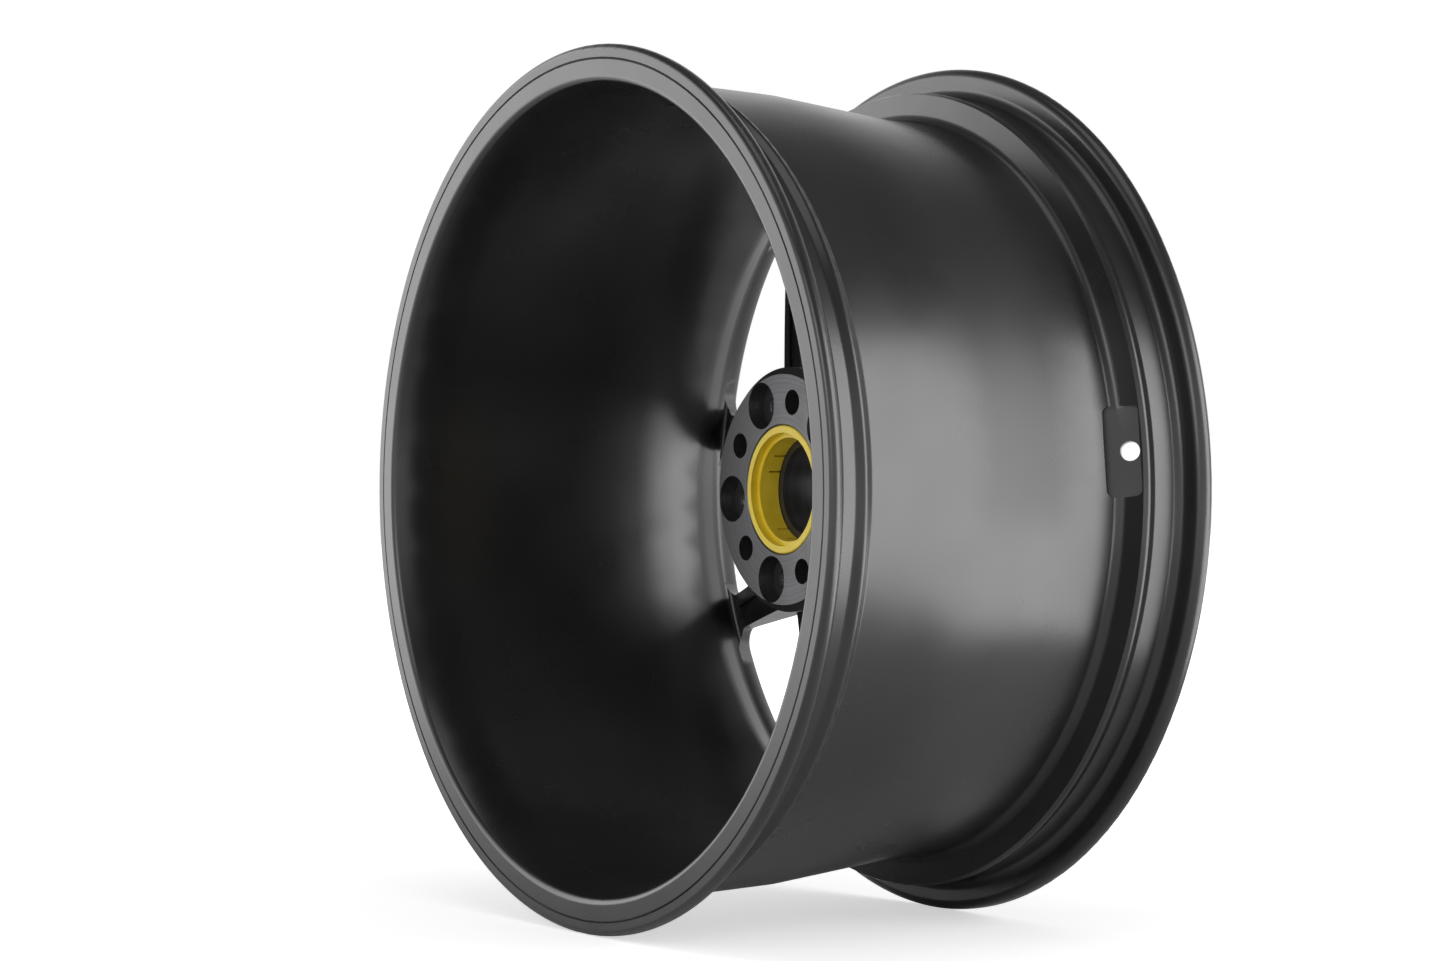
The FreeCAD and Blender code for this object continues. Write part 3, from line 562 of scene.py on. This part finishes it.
@dataclass
class TurnedAdapter:
    """Disc that carries the wheel on one bolt circle and bolts to the hub by another."""

    node: str = "wheel_adapter"
    crease: float = 30.0

    def build(self) -> bpy.types.Object:
        """Makes the smooth disc.

        Returns:
            The adapter's piece.
        """
        return smooth_copy(self.node, "adapter_disc", self.crease)

    def dress(self, piece: bpy.types.Object, finish: AnodisedAlloy) -> None:
        """Gives the disc its anodised finish.

        Args:
            piece: The adapter's piece.
            finish: Finish of the whole disc.
        """
        piece.data.materials.clear()
        piece.data.materials.append(finish.material())
        fit(piece, self.node, Slot.ANODISED)


@dataclass
class CentringRing:
    """Snap-in plastic ring that takes up the room between two bores."""

    node: str
    name: str
    slot: Slot
    crease: float = 28.0

    def build(self) -> bpy.types.Object:
        """Makes the smooth ring.

        Returns:
            The ring's piece.
        """
        return smooth_copy(self.node, self.name, self.crease)

    def dress(self, piece: bpy.types.Object, finish: MouldedPlastic) -> None:
        """Gives the ring its plastic.

        Args:
            piece: The ring's piece.
            finish: Plastic of the ring.
        """
        piece.data.materials.clear()
        piece.data.materials.append(finish.material())
        fit(piece, self.node, self.slot)


@dataclass
class BoltSet:
    """Five cone-seat bolts with rolled threads, repeated round the bolt circle."""

    node: str = "wheel_bolts"
    count: int = 5
    circle_radius: float = 56.0 * MM
    first_direction: float = 186.0
    thread_radius: float = 7.0 * MM
    core_radius: float = 6.15 * MM
    thread_pitch: float = 1.5 * MM
    tip_chamfer: float = 1.5 * MM
    plain_shank: float = 4.0 * MM
    shank_length: float = 27.0 * MM
    collar_radius: float = 11.5 * MM
    cone_half_angle: float = 30.0
    collar_land: float = 1.5 * MM
    hex_across: float = 17.0 * MM
    hex_height: float = 11.0 * MM
    hex_chamfer: float = 2.2 * MM
    edge: float = 0.25 * MM
    segments: int = 72
    crease: float = 25.0
    turn_steps: int = 28
    ridge_sides: int = 4

    def hex_radius(self, angle: float) -> float:
        """Distance from the bolt's axis to its hexagon in one direction."""
        sixth = math.pi / 3
        return self.hex_across / 2 / math.cos((angle % sixth) - sixth / 2)

    def rings(self, angle: float) -> list[tuple[float, float]]:
        """Section of one bolt in one direction, from the middle of its tip to the middle of its head.

        Args:
            angle: Direction round the bolt's own axis, in radians.

        Returns:
            Pairs of radius and height above the tip.
        """
        cone = (self.collar_radius - self.thread_radius) / math.tan(math.radians(self.cone_half_angle))
        collar = self.shank_length + cone
        head = collar + self.collar_land
        top = head + self.hex_height
        corner = self.hex_across / 2 / math.cos(math.pi / 6)
        crown = corner - self.hex_chamfer
        side = self.hex_radius(angle)
        thread_end = self.shank_length - self.plain_shank
        return [
            (self.core_radius - self.tip_chamfer, 0.0),
            (self.core_radius, self.tip_chamfer),
            (self.core_radius, thread_end - self.thread_pitch),
            (self.thread_radius, thread_end),
            (self.thread_radius, self.shank_length),
            (self.collar_radius - self.edge / 2, collar - self.edge),
            (self.collar_radius, collar),
            (self.collar_radius, head - self.edge),
            (self.collar_radius - self.edge, head),
            (side, head),
            (side, top - (side - crown)),
            (crown, top),
        ]

    def bolt(self) -> bpy.types.Mesh:
        """Turns one bolt about its own axis, tip at the origin and head along Y.

        Returns:
            Closed mesh of the bolt without its thread.
        """
        shape = bmesh.new()
        loops = []
        for step in range(self.segments):
            angle = 2 * math.pi * step / self.segments
            loops.append([
                shape.verts.new((radius * math.cos(angle), height, radius * math.sin(angle)))
                for radius, height in self.rings(angle)
            ])
        length = len(loops[0])
        for step, loop in enumerate(loops):
            after = loops[(step + 1) % self.segments]
            for i in range(length - 1):
                shape.faces.new((loop[i], loop[i + 1], after[i + 1], after[i]))
        shape.faces.new([loop[0] for loop in loops])
        shape.faces.new([loop[-1] for loop in loops])
        bmesh.ops.recalc_face_normals(shape, faces=shape.faces)
        for edge in shape.edges:
            edge.smooth = edge.calc_face_angle() < math.radians(self.crease)
        for face in shape.faces:
            face.smooth = True
        mesh = bpy.data.meshes.new("bolt")
        shape.to_mesh(mesh)
        shape.free()
        return mesh

    def tree(self) -> bpy.types.NodeTree:
        """Builds the node tree that winds the thread on a bolt and repeats the bolt round the axle.

        Returns:
            The tree, with named inputs for its sizes.
        """
        tree = bpy.data.node_groups.new("bolt_ring", "GeometryNodeTree")
        ports = tree.interface
        ports.new_socket("Geometry", in_out="INPUT", socket_type="NodeSocketGeometry")
        for name, kind in (
            ("Count", "NodeSocketInt"),
            ("Circle Radius", "NodeSocketFloat"),
            ("First Direction", "NodeSocketFloat"),
            ("Tip Height", "NodeSocketFloat"),
            ("Core Radius", "NodeSocketFloat"),
            ("Thread Start", "NodeSocketFloat"),
            ("Thread Length", "NodeSocketFloat"),
            ("Thread Turns", "NodeSocketFloat"),
            ("Ridge", "NodeSocketFloat"),
            ("Finish", "NodeSocketMaterial"),
        ):
            ports.new_socket(name, in_out="INPUT", socket_type=kind)
        ports.new_socket("Geometry", in_out="OUTPUT", socket_type="NodeSocketGeometry")

        def add(kind: str, **settings: object) -> bpy.types.Node:
            """Adds a node and sets its properties.

            Args:
                kind: Node type.
                settings: Properties of the node by name.

            Returns:
                The new node.
            """
            node = tree.nodes.new(kind)
            for key, value in settings.items():
                setattr(node, key, value)
            return node

        def math_of(operation: str, a: object, b: object) -> bpy.types.NodeSocket:
            """Adds a Math node and joins or sets its two inputs.

            Args:
                operation: What the node does.
                a: Socket or number of the first input.
                b: Socket or number of the second input.

            Returns:
                The result's socket.
            """
            node = add("ShaderNodeMath", operation=operation)
            for socket, value in zip(node.inputs, (a, b)):
                if isinstance(value, bpy.types.NodeSocket):
                    tree.links.new(value, socket)
                else:
                    socket.default_value = value
            return node.outputs[0]

        source = add("NodeGroupInput").outputs
        spiral = add("GeometryNodeCurveSpiral")
        spiral.inputs["Resolution"].default_value = self.turn_steps
        tree.links.new(source["Thread Turns"], spiral.inputs["Rotations"])
        tree.links.new(source["Core Radius"], spiral.inputs["Start Radius"])
        tree.links.new(source["Core Radius"], spiral.inputs["End Radius"])
        tree.links.new(source["Thread Length"], spiral.inputs["Height"])
        profile = add("GeometryNodeCurvePrimitiveCircle", mode="RADIUS")
        profile.inputs["Resolution"].default_value = self.ridge_sides
        tree.links.new(source["Ridge"], profile.inputs["Radius"])
        ridge = add("GeometryNodeCurveToMesh")
        ridge.inputs["Fill Caps"].default_value = True
        tree.links.new(spiral.outputs["Curve"], ridge.inputs["Curve"])
        tree.links.new(profile.outputs["Curve"], ridge.inputs["Profile Curve"])
        start = add("ShaderNodeCombineXYZ")
        tree.links.new(source["Thread Start"], start.inputs["Y"])
        stand = add("GeometryNodeTransform")
        stand.inputs["Rotation"].default_value = (-math.pi / 2, 0.0, 0.0)
        tree.links.new(ridge.outputs["Mesh"], stand.inputs["Geometry"])
        tree.links.new(start.outputs[0], stand.inputs["Translation"])
        whole = add("GeometryNodeJoinGeometry")
        tree.links.new(stand.outputs["Geometry"], whole.inputs["Geometry"])
        tree.links.new(source["Geometry"], whole.inputs["Geometry"])

        step = math_of("DIVIDE", 2 * math.pi, source["Count"])
        steps = math_of("MULTIPLY", add("GeometryNodeInputIndex").outputs[0], step)
        angle = math_of("ADD", steps, source["First Direction"])
        where = add("ShaderNodeCombineXYZ")
        for axis, part in (("X", "COSINE"), ("Z", "SINE")):
            reach = math_of("MULTIPLY", math_of(part, angle, 0.0), source["Circle Radius"])
            tree.links.new(reach, where.inputs[axis])
        tree.links.new(source["Tip Height"], where.inputs["Y"])
        turn = add("ShaderNodeCombineXYZ")
        tree.links.new(math_of("MULTIPLY", angle, -1.0), turn.inputs["Y"])
        points = add("GeometryNodePoints")
        tree.links.new(source["Count"], points.inputs["Count"])
        tree.links.new(where.outputs[0], points.inputs["Position"])
        ring = add("GeometryNodeInstanceOnPoints")
        tree.links.new(points.outputs[0], ring.inputs["Points"])
        tree.links.new(whole.outputs["Geometry"], ring.inputs["Instance"])
        tree.links.new(turn.outputs[0], ring.inputs["Rotation"])
        real = add("GeometryNodeRealizeInstances")
        tree.links.new(ring.outputs["Instances"], real.inputs["Geometry"])
        paint = add("GeometryNodeSetMaterial")
        tree.links.new(real.outputs["Geometry"], paint.inputs["Geometry"])
        tree.links.new(source["Finish"], paint.inputs["Material"])
        tree.links.new(paint.outputs["Geometry"], add("NodeGroupOutput").inputs["Geometry"])
        return tree

    def build(self, finish: PlatedSteel) -> bpy.types.Object:
        """Makes the bolts in their holes.

        Args:
            finish: Plating of the bolts.

        Returns:
            The bolts as one piece.
        """
        piece = link("bolt_set", self.bolt())
        tree = self.tree()
        thread_length = self.shank_length - self.plain_shank - self.tip_chamfer - self.thread_pitch
        ridge = self.thread_radius - self.core_radius
        values = {
            "Count": self.count,
            "Circle Radius": self.circle_radius,
            "First Direction": math.radians(self.first_direction),
            "Tip Height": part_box(self.node)[0].y,
            "Core Radius": self.core_radius,
            "Thread Start": self.tip_chamfer,
            "Thread Length": thread_length,
            "Thread Turns": thread_length / self.thread_pitch,
            "Ridge": ridge,
            "Finish": finish.material(),
        }
        modifier = piece.modifiers.new("ring", "NODES")
        modifier.node_group = tree
        for item in tree.interface.items_tree:
            if item.in_out == "INPUT" and item.name in values:
                modifier[item.identifier] = values[item.name]
        plain_mesh(piece)
        return piece

    def dress(self, piece: bpy.types.Object) -> None:
        """Sets the plated bolts on the frame."""
        fit(piece, self.node, Slot.CHROME)


@dataclass(frozen=True)
class SoftBox:
    """An area light that the camera doesn't see, facing the wheel's middle unless told otherwise."""

    name: str
    place: tuple
    size: tuple
    power: float
    facing: tuple | None = None

    def build(self) -> None:
        """Sets up the light."""
        data = bpy.data.lights.new(self.name, "AREA")
        data.shape = "RECTANGLE"
        data.size, data.size_y = self.size
        data.energy = self.power
        light = bpy.data.objects.new(self.name, data)
        light.location = self.place
        light.rotation_euler = Vector(self.facing or (-Vector(self.place))).to_track_quat("-Z", "Y").to_euler()
        light.visible_camera = False
        bpy.context.scene.collection.objects.link(light)


@dataclass
class Studio:
    """Pale floor, white surround, soft boxes and the camera of the photograph.

    The two glows of the floor are its near and far reach and its strength there, as seen and as mirrored.
    """

    camera_place: tuple = (1.8745, -1.2306, 0.0055)
    camera_forward: tuple = (-0.84308, 0.53778, 0.0)
    lens: float = 92.54
    sensor: float = 36.0
    floor_half: float = 12.0
    floor_tone: tuple = (0.86, 0.86, 0.86)
    seen_glow: tuple = (0.7, 2.0, 0.55, 1.0)
    mirrored_glow: tuple = (0.9, 2.4, 0.0, 1.0)
    floor_roughness: float = 0.9
    ambient: float = 0.35
    overhead: float = 0.12
    dimming: tuple = (0.3, 0.7)
    boxes: tuple = (
        SoftBox("side_box", (2.05, 1.30, 0.60), (1.5, 1.8), 38.0),
        SoftBox("floor_box", (1.06, 0.915, CAD_BOX[0].z + 0.01), (1.38, 1.38), 23.0, (0.0, 0.0, 1.0)),
        SoftBox("rear_box", (-2.05, -1.30, 0.55), (1.5, 1.7), 14.5),
        SoftBox("top_box", (0.3, -0.6, 2.4), (1.6, 1.6), 9.0),
        SoftBox("fill_box", (0.9, -2.4, 0.9), (1.2, 1.2), 12.0),
    )

    def camera(self) -> None:
        """Places the camera at the photograph's viewing angle."""
        data = bpy.data.cameras.new("view")
        data.lens = self.lens
        data.sensor_width = self.sensor
        data.sensor_fit = "HORIZONTAL"
        camera = bpy.data.objects.new("view", data)
        camera.location = self.camera_place
        camera.rotation_euler = Vector(self.camera_forward).to_track_quat("-Z", "Y").to_euler()
        bpy.context.scene.collection.objects.link(camera)
        bpy.context.scene.camera = camera

    def rays(self, tree: bpy.types.NodeTree, *kinds: str) -> bpy.types.NodeSocket:
        """Tells apart the rays that show the surround as white.

        Args:
            tree: Node tree of the floor or the world.
            kinds: Kinds of ray, such as Camera or Glossy.

        Returns:
            Socket that is 1 for those rays.
        """
        path = tree.nodes.new("ShaderNodeLightPath").outputs
        total = path[f"Is {kinds[0]} Ray"]
        for name in (f"Is {kind} Ray" for kind in kinds[1:]):
            either = tree.nodes.new("ShaderNodeMath")
            either.operation = "MAXIMUM"
            tree.links.new(total, either.inputs[0])
            tree.links.new(path[name], either.inputs[1])
            total = either.outputs[0]
        return total

    def floor(self) -> None:
        """Lays the pale floor under the wheel."""
        half, height = self.floor_half, CAD_BOX[0].z
        mesh = bpy.data.meshes.new("floor")
        corners = [(-half, -half, height), (half, -half, height), (half, half, height), (-half, half, height)]
        mesh.from_pydata(corners, [], [(0, 1, 2, 3)])
        floor = link("floor", mesh)
        shader = Shader("pale floor")
        shader.set(Base_Color=(*self.floor_tone, 1.0))
        shader.set(Roughness=self.floor_roughness, Specular_IOR_Level=0.1)
        reach = shader.add("ShaderNodeVectorMath", operation="LENGTH")
        shader.join(shader.place, reach.inputs[0])
        total = shader.add("ShaderNodeMath", operation="ADD")
        for part, (values, kinds) in enumerate((
            (self.seen_glow, ("Camera",)),
            (self.mirrored_glow, ("Glossy", "Transmission")),
        )):
            fade = shader.add("ShaderNodeMapRange")
            for name, value in zip(("From Min", "From Max", "To Min", "To Max"), values):
                fade.inputs[name].default_value = value
            shader.join(reach.outputs["Value"], fade.inputs["Value"])
            glow = shader.add("ShaderNodeMath", operation="MULTIPLY")
            shader.join(fade.outputs["Result"], glow.inputs[1])
            shader.join(self.rays(shader.tree, *kinds), glow.inputs[0])
            shader.join(glow.outputs[0], total.inputs[part])
        shader.set(Emission_Color=(1.0, 1.0, 1.0, 1.0))
        shader.join(total.outputs[0], shader.surface.inputs["Emission Strength"])
        mesh.materials.append(shader.material)

    def surround(self) -> None:
        """Makes the world white at eye level and dim overhead, with an even low light of its own."""
        world = bpy.data.worlds.new("surround")
        bpy.context.scene.world = world
        world.use_nodes = True
        tree = world.node_tree
        back = tree.nodes["Background"]
        back.inputs["Color"].default_value = (1.0, 1.0, 1.0, 1.0)
        direction = tree.nodes.new("ShaderNodeTexCoord")
        parts = tree.nodes.new("ShaderNodeSeparateXYZ")
        tree.links.new(direction.outputs["Generated"], parts.inputs[0])
        height = tree.nodes.new("ShaderNodeMapRange")
        values = (*self.dimming, 1.0, self.overhead)
        for name, value in zip(("From Min", "From Max", "To Min", "To Max"), values):
            height.inputs[name].default_value = value
        tree.links.new(parts.outputs["Z"], height.inputs["Value"])
        strength = tree.nodes.new("ShaderNodeMix")
        strength.inputs[2].default_value = self.ambient
        tree.links.new(self.rays(tree, "Camera", "Glossy", "Transmission"), strength.inputs[0])
        tree.links.new(height.outputs["Result"], strength.inputs[3])
        tree.links.new(strength.outputs[0], back.inputs["Strength"])

    def build(self) -> None:
        """Sets up the camera, the floor, the surround and the lights."""
        bpy.context.scene.view_settings.view_transform = "Standard"
        self.camera()
        self.floor()
        self.surround()
        for box in self.boxes:
            box.build()


def main() -> None:
    """Builds and dresses each piece in order, then the studio."""
    logging.basicConfig(level=logging.INFO, format="%(name)s %(message)s")
    wheel = CastWheel()
    wheel.dress(wheel.build(), SatinPaint(), BareAlloy())
    adapter = TurnedAdapter()
    adapter.dress(adapter.build(), AnodisedAlloy())
    lilac = MouldedPlastic("lilac plastic", (0.42, 0.13, 0.52), (0.52, 0.18, 0.62))
    yellow = MouldedPlastic("yellow plastic", (0.90, 0.66, 0.03), (1.0, 0.78, 0.06))
    wheel_ring = CentringRing("wheel_centring_ring", "lilac_ring", Slot.LILAC)
    wheel_ring.dress(wheel_ring.build(), lilac)
    hub_ring = CentringRing("hub_centring_ring", "yellow_ring", Slot.YELLOW)
    hub_ring.dress(hub_ring.build(), yellow)
    bolts = BoltSet()
    bolts.dress(bolts.build(PlatedSteel()))
    Studio().build()


if __name__ == "__main__":
    main()
